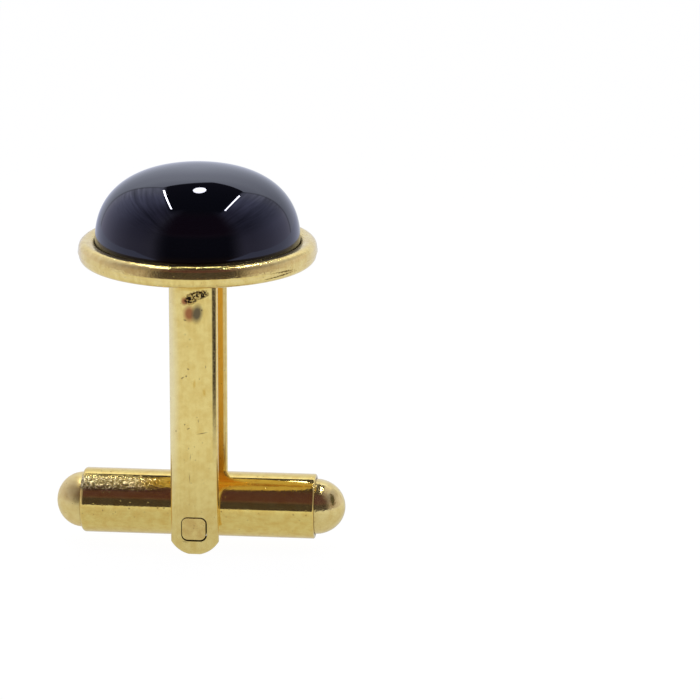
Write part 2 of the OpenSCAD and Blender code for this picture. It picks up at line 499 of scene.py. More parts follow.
# Marks on the front leg's face, in mm: across, up, half width, half height, tilt in degrees
legMarks = {
    "solderRun": [(0.34, 18.52, 0.98, 0.38, -13), (-0.10, 18.20, 0.55, 0.36, -8)],
    "brownStain": [(-0.20, 17.25, 0.50, 0.70, 0), (-0.52, 18.10, 0.30, 0.36, 0)],
    "greyStain": [(0.32, 17.27, 0.46, 0.80, 8)],
    # painted reflection: a pale band down the leg's left edge, where the leg mirrors the bright wall
    # to its left
    "paleEdgeReflection": [(-1.62, 12.0, 0.75, 9.5, 0)],
    "speck": [
        (0.65, 17.54, 0.07, 0.07, 0), (-0.50, 16.81, 0.12, 0.05, 20), (-0.44, 12.87, 0.08, 0.08, 0),
        (-0.70, 12.74, 0.15, 0.05, -30), (-0.31, 13.37, 0.10, 0.05, 30), (0.88, 13.55, 0.05, 0.12, 0),
        (0.36, 9.70, 0.05, 0.16, -5), (-0.57, 9.43, 0.07, 0.06, 0), (-0.32, 9.14, 0.14, 0.04, -20),
        (-1.18, 8.93, 0.06, 0.09, 0), (0.63, 8.83, 0.42, 0.028, -12), (-0.31, 7.72, 0.05, 0.08, 0),
        (-0.20, 7.10, 0.04, 0.30, 6), (-0.28, 5.60, 0.05, 0.45, -4), (-0.62, 0.98, 0.26, 0.07, 10),
    ],
    "yellowStainsAndCupReflection": [
        # two stains, then a painted reflection: the yellow band just under the cup, where the leg
        # mirrors the cup's gold underside
        (0.11, 12.32, 0.12, 0.40, 4), (0.77, 11.74, 0.13, 0.34, -6), (0.0, 19.0, 1.2, 0.2, -5),
    ],
}

# How the marks look: which colour each stain and each painted reflection gives and how much of it,
# softness from 0 to 1
marking = {
    "onFront": (-2.6 * mm, -2.8 * mm),
    "stainsAndReflections": (
        ("paleEdgeReflection", "paleHighlight", 0.65), ("yellowStainsAndCupReflection", "stainAndReflection", 0.5),
        ("brownStain", "brown", 0.95), ("greyStain", "grey", 1.0),
    ),
    "stainAndReflectionSoft": 0.6,
    "lumpSize": 0.11 * mm,
    "lumpEdge": (0.3, 0.7, -0.35, 0.35),
    "solderSoft": 0.45,
    "solderSpan": (0.40, 0.65),
    "solderHigh": 9.0,
    "crust": (0.50, 0.58, 1.0, 0.0),
    "speckSoft": 0.8,
    "speckDark": 0.42,
    "speckDeep": -0.4,
}


def markMask(add, place, marks, softness):
    # 1 inside any of the ellipses on the front leg's face, fading to 0 at their edges
    whole = None
    for x, z, wide, high, tilt in marks:
        local = add(
            "Mapping",
            (place, (x * mm, 0, z * mm), (0, math.radians(tilt), 0), (wide * mm, 1, high * mm)),
            vector_type="TEXTURE",
        )
        out = add("VectorMath", (local,), "Value", operation="LENGTH")
        one = add("MapRange", (out, 1.0, 1.0 - softness))
        if whole is not None:
            one = add("Math", (whole, one), operation="MAXIMUM")
        whole = one
    y = add("SeparateXYZ", (place,), 1)
    onFront = add("MapRange", (y, *marking["onFront"]))
    return add("Math", (whole, onFront), operation="MULTIPLY")


def markLeg(add, place, colour, dark, bumpHeight):
    # solder run: lumpy and dark; below it the heat stained the plating brown and grey
    lumps = add("TexNoise", {"Vector": place, "Scale": 1 / marking["lumpSize"], "Detail": 3})
    edge = add("MapRange", (lumps, *marking["lumpEdge"]))
    solderMask = markMask(add, place, legMarks["solderRun"], marking["solderSoft"])
    solderMask = add("Math", (solderMask, edge), operation="ADD")
    solderMask = add("MapRange", (solderMask, *marking["solderSpan"]))
    # the stains, and two painted reflections among them: the pale band down the left edge and the
    # yellow band under the cup
    for marks, shade, share in marking["stainsAndReflections"]:
        mask = markMask(add, place, legMarks[marks], marking["stainAndReflectionSoft"])
        mask = add("Math", (mask, share), operation="MULTIPLY")
        stainAndReflection = hexLinear(gold[shade])
        colour = add("Mix", {0: mask, 6: colour, 7: stainAndReflection}, 2, data_type="RGBA")
    specks = markMask(add, place, legMarks["speck"], marking["speckSoft"])
    crust = add("MapRange", (lumps, *marking["crust"]))
    crust = add("Math", (crust, solderMask), operation="MULTIPLY")
    speckDark = add("Math", (specks, marking["speckDark"]), operation="MULTIPLY")
    for darker in (crust, speckDark):
        dark = add("Math", (dark, darker), operation="MAXIMUM")
    solder = add("Math", (lumps, solderMask), operation="MULTIPLY")
    for form, height in ((specks, marking["speckDeep"]), (solder, marking["solderHigh"])):
        bumpHeight = add("Math", (form, height, bumpHeight), operation="MULTIPLY_ADD")
    return colour, dark, bumpHeight


def platedGold(finish, marked=False):
    # Brass, polished and gold-plated: a warm mirror with a fine orange-peel grain that breaks up the
    # lamps, faint drawing lines, small pits and dirt in the seams, duller where it was never polished
    # It also paints light: painted reflections on the front leg, painted orange bounce light where
    # little was polished, and painted glints and shade on the barrel's grain
    material, add = newMaterial(finish["name"])
    place = add("TexCoord", out="Object")
    axes = add("SeparateXYZ", (place,), None)

    # drawing lines run along the piece: noise squeezed across and stretched along
    lined = add("Mapping", {0: place, 3: finish["drawn"]})
    lines, clouds, peel = (
        add("TexNoise", {"Vector": where, "Scale": 1 / width, "Detail": detail})
        for where, width, detail in (
            (lined, mm, 4), (place, plating["cloudSize"], 6), (place, finish["grain"] * mm, 2),
        )
    )
    tint = add("Math", (lines, plating["lineTint"], clouds), operation="MULTIPLY_ADD")
    tint = add("MapRange", (tint, *plating["tint"]))
    bright, deep = hexLinear(finish["colour"]), hexLinear(finish["deep"])
    colour = add("Mix", {0: tint, 6: bright, 7: deep}, 2, data_type="RGBA")

    grain = peel
    grown = 1.0
    for axis, start, end, least in finish["grows"]:
        here = add("MapRange", (axes[axis], start * mm, end * mm, least, 1.0))
        grown = add("Math", (here, grown), operation="MULTIPLY")
    if finish["grows"]:
        grain = add("Math", (peel, grown), operation="MULTIPLY")
    if finish["paintedGlintAndShade"]:
        # painted light on the grain: painted glints on its crests and painted shade in its hollows
        crest = add("MapRange", (peel, *plating["crests"]))
        hollowShade, paleHighlight = hexLinear(gold["hollowShade"]), hexLinear(gold["paleHighlight"])
        paintedGlintAndShade = add("Mix", {0: crest, 6: hollowShade, 7: paleHighlight}, 2, data_type="RGBA")
        share = add("Math", (grown, finish["paintedGlintAndShade"]), operation="MULTIPLY")
        colour = add("Mix", {0: share, 6: colour, 7: paintedGlintAndShade}, 2, data_type="RGBA")

    pits = add("TexVoronoi", {"Vector": place, "Scale": 1 / plating["pitSpacing"]}, None)
    pitShape = add("MapRange", (pits["Distance"], *plating["pitEdge"]))
    pitPick = add("Math", (pits["Color"], 1 - finish["pits"]), operation="GREATER_THAN")
    pitMask = add("Math", (pitShape, pitPick), operation="MULTIPLY")

    dirtAndPaintedReflection, rawAndPaintedBounce = (
        add("Attribute", out="Fac", attribute_name=name)
        for name in ("dirtAndPaintedReflection", "unpolishedAndPaintedBounce")
    )
    grainGaps = add("MapRange", (peel, *plating["grainGaps"]))
    # on the setting these numbers also hold a painted reflection, the dark line down the front leg's
    # right edge, laid on in the dirt colour
    dirtAndReflectionMask = add("Math", (dirtAndPaintedReflection, grainGaps), operation="MULTIPLY")
    pitShade = add("Math", (pitMask, plating["pitDark"]), operation="MULTIPLY")
    dark = add("Math", (dirtAndReflectionMask, pitShade), operation="MAXIMUM")
    # painted bounce light: orange mixed in where little was polished, for light bounced off the gold
    # close by
    orange = add("MapRange", (rawAndPaintedBounce, *plating["rawAndPaintedBounce"]))
    colour = add("Mix", {0: orange, 6: colour, 7: hexLinear(gold["rawAndPaintedBounce"])}, 2, data_type="RGBA")
    rough = add("MapRange", (lines, *plating["lines"], *finish["rough"]))
    if finish["frost"]:
        frost = add("Math", (grown, finish["frost"]), operation="MULTIPLY")
        rough = add("Math", (frost, rough), operation="ADD")
    bumpHeight = add("Math", (pitMask, plating["pitDeep"], grain), operation="MULTIPLY_ADD")
    if marked:
        colour, dark, bumpHeight = markLeg(add, place, colour, dark, bumpHeight)

    colour = add("Mix", {0: dark, 6: colour, 7: hexLinear(gold["dirtAndPaintedReflection"])}, 2, data_type="RGBA")
    for dull, much in ((dark, plating["darkRough"]), (rawAndPaintedBounce, plating["rawRough"])):
        rough = add("Math", (dull, much, rough), operation="MULTIPLY_ADD")
    depth = finish["grainDepth"] * micron
    bump = add("Bump", {"Height": bumpHeight, "Distance": depth, "Strength": 1.0})
    bump = add(
        "Bump",
        {"Height": lines, "Distance": plating["lineDepth"], "Strength": 1.0, "Normal": bump},
    )
    # a trace of haze lies over the plating, and more of it where it was never polished
    metal = add("MapRange", (rawAndPaintedBounce, *plating["metallic"]))
    shader = add("BsdfPrincipled", {
        "Base Color": colour,
        "Metallic": metal,
        "Roughness": rough,
        "Normal": bump,
    })
    add("OutputMaterial", (shader,))
    return material


onyx = {
    "colour": "#07090e",
    "hazeSize": 1.6 * mm,
    "rough": (0.3, 0.7, 0.012, 0.03),
    "ior": 1.54,
    "tint": (0.80, 0.80, 1.0, 1.0),
}


def polishedOnyx():
    # Black onyx, cut as a cabochon and polished: near black inside with a cold mirror gloss
    material, add = newMaterial("onyx, black, polished")
    place = add("TexCoord", out="Object")
    haze = add("TexNoise", {"Vector": place, "Scale": 1 / onyx["hazeSize"], "Detail": 4})
    rough = add("MapRange", (haze, *onyx["rough"]))
    shader = add("BsdfPrincipled", {
        "Base Color": hexLinear(onyx["colour"]),
        "Roughness": rough,
        "IOR": onyx["ior"],
        "Specular Tint": onyx["tint"],
    })
    add("OutputMaterial", (shader,))
    return material


# Shapes turned about an axis

weldDistance = 0.0005 * mm
sharpFrom = 28  # edges bent by more degrees than this stay sharp


def arc(centre, radius, start, end, steps):
    # points of a round stretch, as (out from the axis, along the axis)
    points = []
    for i in range(steps + 1):
        a = math.radians(start + (end - start) * i / steps)
        points.append((centre[0] + radius * math.cos(a), centre[1] + radius * math.sin(a)))
    return points


def turningTree():
    # Turns an outline, given as a chain of points, once round the Z axis
    tree = bpy.data.node_groups.new("turned outline", "GeometryNodeTree")
    for name, way, kind in (
        ("Outline", "INPUT", "Geometry"), ("Facets Round", "INPUT", "Int"),
        ("Weld Distance", "INPUT", "Float"), ("Finish", "INPUT", "Material"),
        ("Turned", "OUTPUT", "Geometry"),
    ):
        tree.interface.new_socket(name, in_out=way, socket_type="NodeSocket" + kind)
    add = partial(addNode, tree)
    given = add("NodeGroupInput", out=None)
    outline, facets = given["Outline"], given["Facets Round"]
    count = add("GeometryNodeAttributeDomainSize", (outline,), "Point Count")
    columns = add("Math", (facets, 1.0))
    grid = add("GeometryNodeMeshGrid", {"Vertices X": columns, "Vertices Y": count})
    index = add("GeometryNodeInputIndex")
    step = add("Math", (index, count), operation="DIVIDE")
    turn = add("Math", (step,), operation="FLOOR")
    rung = add("Math", (index, count), operation="MODULO")
    share = add("Math", (turn, facets), operation="DIVIDE")
    angle = add("Math", (share, 2 * math.pi), operation="MULTIPLY")
    where = add("GeometryNodeInputPosition")
    point = add(
        "GeometryNodeSampleIndex", {"Geometry": outline, "Value": where, "Index": rung},
        data_type="FLOAT_VECTOR", domain="POINT",
    )
    turned = add("VectorRotate", {"Vector": point, "Angle": angle}, rotation_type="Z_AXIS")
    shape = add("GeometryNodeSetPosition", {"Geometry": grid, "Position": turned})
    weld = {"Geometry": shape, "Distance": given["Weld Distance"]}
    shape = add("GeometryNodeMergeByDistance", weld)
    shape = add("GeometryNodeRealizeInstances", {"Geometry": shape})
    finish = {"Geometry": shape, "Material": given["Finish"]}
    shape = add("GeometryNodeSetMaterial", finish)
    add("NodeGroupOutput", (shape,))
    return tree


def settle(piece):
    # turns the piece's modifiers into its plain mesh
    graph = bpy.context.evaluated_depsgraph_get()
    mesh = bpy.data.meshes.new_from_object(piece.evaluated_get(graph))
    piece.modifiers.clear()
    piece.data = mesh


def tidyNormals(piece, crease=sharpFrom):
    work = bmesh.new()
    work.from_mesh(piece.data)
    bmesh.ops.remove_doubles(work, verts=work.verts, dist=weldDistance)
    bmesh.ops.recalc_face_normals(work, faces=work.faces)
    work.to_mesh(piece.data)
    work.free()
    piece.data.shade_smooth()
    piece.data.set_sharp_from_angle(angle=math.radians(crease))


def turnPiece(name, outline, facets, finish, place=None):
    # outline points are (out, along) in metres
    chain = [(i, i + 1) for i in range(len(outline) - 1)]
    piece = addObject(name, newMesh(name, [(r, 0, h) for r, h in outline], [], chain))
    turning = piece.modifiers.new("turning", "NODES")
    turning.node_group = latheTree
    ids = {s.name: s.identifier for s in latheTree.interface.items_tree if s.in_out == "INPUT"}
    turning[ids["Facets Round"]] = facets
    turning[ids["Weld Distance"]] = weldDistance
    turning[ids["Finish"]] = finish
    settle(piece)
    if place:
        piece.data.transform(place)
    tidyNormals(piece)
    return piece


def cutOrJoin(piece, other, operation):
    # one solid of two, or one solid cut by another, and the other one is gone
    step = piece.modifiers.new(operation.lower(), "BOOLEAN")
    step.operation = operation
    step.solver = "EXACT"
    step.object = other
    settle(piece)
    bpy.data.objects.remove(other)


def markPoints(piece, name, howMuch):
    # a number from 0 to 1 at each point: dirt sits in seams, and on the setting the same numbers hold
    # a painted reflection down the front leg's right edge; unpolished is where no wheel reached, and
    # where it is high the plating is painted orange as bounce light
    mesh = piece.data
    layer = mesh.attributes.new(name, "FLOAT", "POINT")
    layer.data.foreach_set("value", [howMuch(v.co) for v in mesh.vertices])


def roundPairs(count):
    # each place on a closed ring with the next one
    return [(i, (i + 1) % count) for i in range(count)]


def falloff(distance, reach):
    return max(0.0, 1.0 - abs(distance) / reach)


# The setting: cup with its rolled rim

cup = {
    "beadRadius": 0.52 * mm,
    "sideLean": 7.5,
    "crease": 0.67 * mm,  # above the rim's lower edge
    "creaseEdge": 0.035 * mm,
    "bandInset": 0.07 * mm,
    "bandEdge": 0.5 * mm,
    "rimHeight": 1.5 * mm,
    "floor": 0.6 * mm,
    "stoneGap": 0.03 * mm,
    "lipDrop": 0.18 * mm,
    "floorRings": (0, 3 * mm, 6 * mm),
    "facets": 288,
    # steps along the band's lower edge, the crease, the shoulder and the lip
    "bandSteps": 14,
    "creaseSteps": 6,
    "shoulderSteps": 24,
    "lipSteps": 16,
}


def cupOutline():
    # a round shoulder, a side that leans out down to a crease, and a band with a round lower edge
    rimRadius = postHigh.x
    bead = cup["beadRadius"]
    low = postHigh.z - cup["rimHeight"]
    lean = math.radians(cup["sideLean"])
    beadHigh = postHigh.z - bead
    sideTop = beadHigh + bead * math.sin(lean)
    creaseHigh = low + cup["crease"]
    sideTopOut = rimRadius - (sideTop - creaseHigh) * math.tan(lean)
    beadMiddle = (sideTopOut - bead * math.cos(lean), beadHigh)
    bandRadius = rimRadius - cup["bandInset"]
    wall = stoneHigh.x + cup["stoneGap"]
    edge = cup["bandEdge"]
    nib = cup["creaseEdge"]
    outline = [(out, low) for out in cup["floorRings"]]
    outline += arc((bandRadius - edge, low + edge), edge, -90, 0, cup["bandSteps"])
    outline += [(bandRadius, creaseHigh - nib * 0.6), (bandRadius + nib * 0.3, creaseHigh)]
    outline += arc((rimRadius - nib, creaseHigh + nib), nib, -75, cup["sideLean"], cup["creaseSteps"])
    outline += arc(beadMiddle, bead, cup["sideLean"], 90, cup["shoulderSteps"])
    # inside, the lip is rolled over flat until it nearly touches the stone
    lipWide = beadMiddle[0] - wall
    for i in range(1, cup["lipSteps"] + 1):
        a = math.radians(90 * i / cup["lipSteps"])
        drop = cup["lipDrop"] * (1 - math.cos(a))
        outline.append((beadMiddle[0] - lipWide * math.sin(a), postHigh.z - drop))
    outline += [(wall, low + cup["floor"]), (0, low + cup["floor"])]
    return outline


# The post: one strap bent into two legs, with a pin hole in each foot

post = {
    "crown": 9.0 * mm,
    "edge": 0.36 * mm,
    "innerEdge": 0.26 * mm,
    "holeEdge": 0.035 * mm,
    "thickness": 0.9 * mm,
    "bend": 0.5 * mm,
    "innerBend": 0.12 * mm,
    "footFlat": 0.8 * mm,
    "pinGap": 0.05 * mm,
    "pinCorner": 0.4 * mm,
    "footTop": 3.9 * mm,  # above here the legs are plain
    "intoCup": 0.03 * mm,
    "width": 3.3 * mm,
    "legColumns": 14,
    "legRows": 12,
    "belowBend": 0.3 * mm,  # the rows end this far below the strip
    "bendSteps": 8,
    # the foot's points: down each straight side, round to the flat, along the flat
    "sideSteps": 14,
    "roundSteps": 18,
    "flatPlaces": (0.5, 0, -0.5),
    # rings of points round the pin hole, and between those and the foot's edge
    "holeRings": [s * mm for s in (0, 0.01, 0.022, 0.035, 0.07, 0.13)],
    "middleRings": 5,
}
# places in from a rounded edge, as shares of its radius
edgeShares = (0, 0.03, 0.1, 0.22, 0.38, 0.56, 0.76, 1.0, 1.25)
legHalf = post["width"] / 2
legOut = pinHigh.y
legIn = legOut - post["thickness"]
pinMiddle = (pinLow.z + pinHigh.z) / 2
footRadius = math.hypot(pinMiddle, post["footFlat"] / 2)
stripLow = postHigh.z - cup["rimHeight"] - post["thickness"]
stripTop = stripLow + post["thickness"]


def quarterDrop(distance, radius):
    # how far a rounded edge has fallen away at this distance from the outline
    if distance >= radius:
        return 0.0
    return radius - math.sqrt(max(0.0, radius ** 2 - (radius - distance) ** 2))


def crownSag(x):
    return post["crown"] - math.sqrt(post["crown"] ** 2 - x * x)


def roundSquare(x, z, halfX, halfZ, corner):
    # distance outside a rectangle with round corners, less than 0 inside it
    qx = abs(x) - (halfX - corner)
    qz = abs(z) - (halfZ - corner)
    return math.hypot(max(qx, 0), max(qz, 0)) + min(max(qx, qz), 0) - corner


def holeDistance(x, z, gap):
    return roundSquare(
        x, z - pinMiddle, pinHigh.x + gap, (pinHigh.z - pinLow.z) / 2 + gap, post["pinCorner"] + gap
    )


def rayToSquare(angle, gap):
    # how far from the pin's middle the side of its hole is in this direction, found by halving
    near, far = 0.0, post["width"]
    for _ in range(40):
        middle = (near + far) / 2
        inside = holeDistance(middle * math.cos(angle), pinMiddle + middle * math.sin(angle), gap) < 0
        near, far = (middle, far) if inside else (near, middle)
    return far


def edgeSteps(width, radius, inner):
    # places across a strap, close together where its edges are round
    side = [-width + radius * s for s in edgeShares]
    span = -2 * side[-1]
    middle = [side[-1] + span * i / inner for i in range(1, inner)]
    return side + middle + [-x for x in reversed(side)]


legColumns = edgeSteps(legHalf, post["edge"], post["legColumns"])


def footDistance(x, z):
    # distance in from the outline of a leg's face
    d = min(legHalf - abs(x), z)
    if z < pinMiddle:
        d = min(d, footRadius - math.hypot(x, z - pinMiddle))
    return max(0.0, d)


def footOutline():
    # once round the foot from the top line's left end, clockwise from the front
    top = post["footTop"]
    points = [(x, top) for x in legColumns]
    sideLow = pinMiddle - math.sqrt(footRadius ** 2 - legHalf ** 2)
    for i in range(1, post["sideSteps"] + 1):
        points.append((legHalf, top + (sideLow - top) * i / post["sideSteps"]))
    start = math.atan2(sideLow - pinMiddle, legHalf)
    end = math.atan2(-pinMiddle, post["footFlat"] / 2)
    for i in range(1, post["roundSteps"] + 1):
        a = start + (end - start) * i / post["roundSteps"]
        points.append((footRadius * math.cos(a), pinMiddle + footRadius * math.sin(a)))
    points += [(post["footFlat"] / 2 * s, 0.0) for s in post["flatPlaces"]]
    right = points[len(legColumns):-len(post["flatPlaces"])]
    points += [(-x, z) for x, z in reversed(right)]
    return points


def footPatch():
    # flat layout of the foot round its pin hole: rings of points and their quads
    outline = footOutline()
    fromHole = post["holeRings"]
    toEdge = [s * post["edge"] for s in reversed(edgeShares)]
    inner = post["middleRings"]
    points = []
    for x, z in outline:
        angle = math.atan2(z - pinMiddle, x)
        start = rayToSquare(angle, post["pinGap"])
        end = math.hypot(x, z - pinMiddle)
        low, high = start + fromHole[-1], end - toEdge[0]
        steps = [start + s for s in fromHole]
        steps += [low + (high - low) * i / inner for i in range(1, inner)]
        steps += [end - s for s in toEdge]
        points.append([(d * math.cos(angle), pinMiddle + d * math.sin(angle)) for d in steps])
    rings = len(points[0])
    flat = [p for spoke in points for p in spoke]
    quads, walls = [], []
    for i, j in roundPairs(len(outline)):
        for k in range(rings - 1):
            quads.append((i * rings + k, i * rings + k + 1, j * rings + k + 1, j * rings + k))
        walls.append((i * rings, j * rings))
        if i >= len(legColumns) - 1:  # the top line goes on into the leg
            walls.append((i * rings + rings - 1, j * rings + rings - 1))
    return flat, quads, walls


def strapMesh():
    verts, faces = [], []

    def addFoot(turn):
        flat, quads, walls = footPatch()
        base = len(verts)
        for x, z in flat:
            fall = crownSag(x) + quarterDrop(footDistance(x, z), post["edge"])
            fall += quarterDrop(holeDistance(x, z, post["pinGap"]), post["holeEdge"])
            verts.append((x * turn, (-legOut + fall) * turn, z))
        half = len(flat)
        for x, z in flat:
            fall = quarterDrop(footDistance(x, z), post["innerEdge"])
            verts.append((x * turn, (-legIn - fall) * turn, z))
        faces.extend(tuple(base + q for q in quad) for quad in quads)
        faces.extend(tuple(base + half + q for q in reversed(quad)) for quad in quads)
        faces.extend((base + a, base + b, base + half + b, base + half + a) for a, b in walls)

    addFoot(1)
    addFoot(-1)

    # stations along the strap: outer point, inner point and the outward normal, all in Y and Z
    stations = []
    top = stripLow - post["belowBend"]
    rows = post["legRows"]
    for i in range(rows + 1):
        z = post["footTop"] + (top - post["footTop"]) * i / rows
        stations.append(((-legOut, z), (-legIn, z), (-1, 0)))
    outerMiddle = (-legOut + post["bend"], stripTop - post["bend"] + post["intoCup"])
    innerMiddle = (-legIn + post["innerBend"], stripLow - post["innerBend"])
    bends = post["bendSteps"]
    for i in range(bends + 1):
        a = math.radians(180 - 90 * i / bends)
        way = (math.cos(a), math.sin(a))
        outer = tuple(m + post["bend"] * w for m, w in zip(outerMiddle, way))
        inner = tuple(m + post["innerBend"] * w for m, w in zip(innerMiddle, way))
        stations.append((outer, inner, way))
    stations.append(((0, stripTop + post["intoCup"]), (0, stripLow), (0, 1)))
    for (oy, oz), (iy, iz), (ny, nz) in reversed(stations[:-1]):
        stations.append(((-oy, oz), (-iy, iz), (-ny, nz)))

    base = len(verts)
    wide = len(legColumns)
    for (oy, oz), (iy, iz), (ny, nz) in stations:
        for x in legColumns:
            fall = crownSag(x) + quarterDrop(legHalf - abs(x), post["edge"])
            verts.append((x, oy - ny * fall, oz - nz * fall))
        for x in legColumns:
            fall = quarterDrop(legHalf - abs(x), post["innerEdge"])
            verts.append((x, iy + ny * fall, iz + nz * fall))
    for s in range(len(stations) - 1):
        here, there = base + s * 2 * wide, base + (s + 1) * 2 * wide
        for c in range(wide - 1):
            faces.append((here + c, here + c + 1, there + c + 1, there + c))
            inHere, inThere = here + wide + c, there + wide + c
            faces.append((inHere, inThere, inThere + 1, inHere + 1))
        for c in (0, wide - 1):
            faces.append((here + c, there + c, there + wide + c, here + wide + c))
    return newMesh("strap", verts, faces)


solder = {
    "reach": 0.42 * mm,
    "depth": 0.85,  # share of the reach
    "sink": 0.02 * mm,
    "steps": 7,
    "corner": 0.25 * mm,
    "cornerSteps": 6,
    "inset": (0.05 * mm, 0.1 * mm),
    "spacing": 0.16 * mm,
    # two waves along the bead: how much, how fast and from where
    "waves": ((0.22, 0.61, 0.0), (0.14, 1.47, 1.3)),
}


def solderMesh():
    # a hollow-faced bead of solder all round the strip where it meets the cup
    verts, faces = [], []
    insetX, insetY = solder["inset"]
    corner, turns, steps = solder["corner"], solder["cornerSteps"], solder["steps"]
    halfX, halfY = legHalf - insetX - corner, legOut - insetY - corner
    ring = []
    for sx, sy, start in ((1, 1, 0), (-1, 1, 90), (-1, -1, 180), (1, -1, 270)):
        for i in range(turns + 1):
            a = math.radians(start + 90 * i / turns)
            ring.append((sx * halfX, sy * halfY, math.cos(a), math.sin(a)))
    full = []
    for i, j in roundPairs(len(ring)):
        here, there = ring[i], ring[j]
        apart = math.hypot(
            there[0] + corner * there[2] - here[0] - corner * here[2],
            there[1] + corner * there[3] - here[1] - corner * here[3],
        )
        pieces = max(1, round(apart / solder["spacing"]))
        for k in range(pieces):
            full.append(tuple(h + (t - h) * k / pieces for h, t in zip(here, there)))
    top = stripTop + solder["sink"]
    for i, (cx, cy, nx, ny) in enumerate(full):
        wave = sum(much * math.sin(i * fast + begin) for much, fast, begin in solder["waves"])
        reach = solder["reach"] * (1 + wave)
        deep = reach * solder["depth"]
        for k in range(steps + 1):
            a = math.radians(90 * k / steps)
            out = corner + reach * (1 - math.sin(a))
            verts.append((cx + nx * out, cy + ny * out, stripTop - deep * (1 - math.cos(a))))
        out = corner + reach
        verts += [(cx, cy, stripTop - deep), (cx, cy, top), (cx + nx * out, cy + ny * out, top)]
    rung = steps + 4
    for i, j in roundPairs(len(full)):
        for k, m in roundPairs(rung):
            faces.append((i * rung + k, i * rung + m, j * rung + m, j * rung + k))
    return newMesh("solder", verts, faces)


# Where the setting is dirty or was never polished, from 0 to 1, with painted light in both: a painted
# reflection down the front leg's right edge, and painted orange bounce light on the inner faces
wearAndPaintedLight = {
    "inCup": 0.25,
    "lipDepth": 0.1 * mm,
    "touch": 0.004 * mm,
    # a painted reflection: a dark line down the front leg's right edge, where the leg mirrors a dark
    # thing to its right; from here to there across, and fading in
    "line": 0.95,
    "lineAcross": (0.10 * mm, 0.32 * mm),
    "lineUp": (7 * mm, 12 * mm),
    "faceDepth": 0.25 * mm,
    "pinSeam": 0.95,
    "pinSeamReach": 0.03 * mm,
    "lip": 0.7,
    "lipReach": 0.30 * mm,
    "lipHigh": 0.5 * mm,
    # the insides of the legs and of the strip, less so along the edges that a wheel still reached; on
    # these insides the plating is also painted orange as bounce light
    "insideDepth": 0.08 * mm,
    "insideEdge": 0.45,
    "insideEdgeWide": 0.21 * mm,
    "side": 0.35,
    "sideDepth": 0.02 * mm,
}


def makeSetting():
    finish = platedGold(finishes["setting"], marked=True)
    piece = turnPiece("setting", cupOutline(), cup["facets"], finish)
    strap = addObject("strap", strapMesh())
    tidyNormals(strap)
    bead = addObject("solder", solderMesh())
    tidyNormals(bead)
    cutOrJoin(strap, bead, "UNION")
    cutOrJoin(piece, strap, "UNION")
    tidyNormals(piece)
    wall = stoneHigh.x + cup["stoneGap"]

    def darkAmount(p):
        if p.z > postHigh.z - cup["rimHeight"]:
            inside = math.hypot(p.x, p.y) < wall + wearAndPaintedLight["touch"]
            return wearAndPaintedLight["inCup"] if inside and p.z > stripTop + wearAndPaintedLight["lipDepth"] else 0.0
        # painted reflection: the dark line down the front leg's right edge
        near, far = wearAndPaintedLight["lineAcross"]
        start, full = wearAndPaintedLight["lineUp"]
        if p.y < -legIn - wearAndPaintedLight["faceDepth"] and near < legHalf - p.x < far and p.z > start:
            return wearAndPaintedLight["line"] * min(1.0, (p.z - start) / (full - start))
        if p.z < post["footTop"]:
            seam = holeDistance(p.x, p.z, post["pinGap"])
            return wearAndPaintedLight["pinSeam"] * falloff(seam, wearAndPaintedLight["pinSeamReach"])
        return 0.0

    def unpolishedAndPaintedBounce(p):
        if p.z > stripTop - wearAndPaintedLight["lipDepth"]:
            fromStone = math.hypot(p.x, p.y) - wall
            onLip = p.z > postHigh.z - wearAndPaintedLight["lipHigh"]
            return wearAndPaintedLight["lip"] * falloff(fromStone, wearAndPaintedLight["lipReach"]) if onLip else 0.0
        # painted bounce light: the insides get painted orange as well as rougher
        if abs(p.y) < legIn + wearAndPaintedLight["insideDepth"]:
            onEdge = abs(p.x) > legHalf - wearAndPaintedLight["insideEdgeWide"] and p.z < stripLow
            return wearAndPaintedLight["insideEdge"] if onEdge else 1.0
        return wearAndPaintedLight["side"] if abs(p.x) > legHalf - wearAndPaintedLight["sideDepth"] else 0.0

    markPoints(piece, "dirtAndPaintedReflection", darkAmount)
    markPoints(piece, "unpolishedAndPaintedBounce", unpolishedAndPaintedBounce)
    piece.data.materials.clear()
    piece.data.materials.append(finish)
    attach(piece, "head_and_post")
    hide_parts("setting_post")
    return piece


# The stone

stone = {
    "power": 2.44,
    "edgeHeight": 0.5 * mm,
    "bevel": ((-0.25 * mm, 0), (-0.08 * mm, 0.03 * mm), (0, 0.15 * mm)),  # in from the edge, and up
    "facets": 256,
    "rings": 72,
}


def makeStone():
    radius = stoneHigh.x
    girdle = stoneLow.z + stone["edgeHeight"]
    rise = stoneHigh.z - girdle
    outline = [(0, stoneLow.z)] + [(radius + out, stoneLow.z + up) for out, up in stone["bevel"]]
    for i in range(stone["rings"] + 1):
        a = math.pi / 2 * i / stone["rings"]
        out = radius * math.cos(a) ** (2 / stone["power"]) if i < stone["rings"] else 0.0
        outline.append((out, girdle + rise * math.sin(a) ** (2 / stone["power"])))
    piece = turnPiece("cabochon", outline, stone["facets"], polishedOnyx())
    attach(piece, "head_and_post")
    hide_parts("stone")
    return piece


# The pivot pin

pin = {
    "edge": 0.05 * mm,
    "edgePlaces": (0, 0.12, 0.3, 0.55, 1.0, 1.8),  # rings in from the side, as shares of the edge
    "innerRing": 0.5,
    "crown": 0.8,
    "facets": 96,
    "offCentre": (-0.022 * mm, 0, 0.020 * mm),
    "sharpFrom": 40,
    "dirtAndPaintedReflection": 0.9,
    "dirtDepth": 0.06 * mm,
}


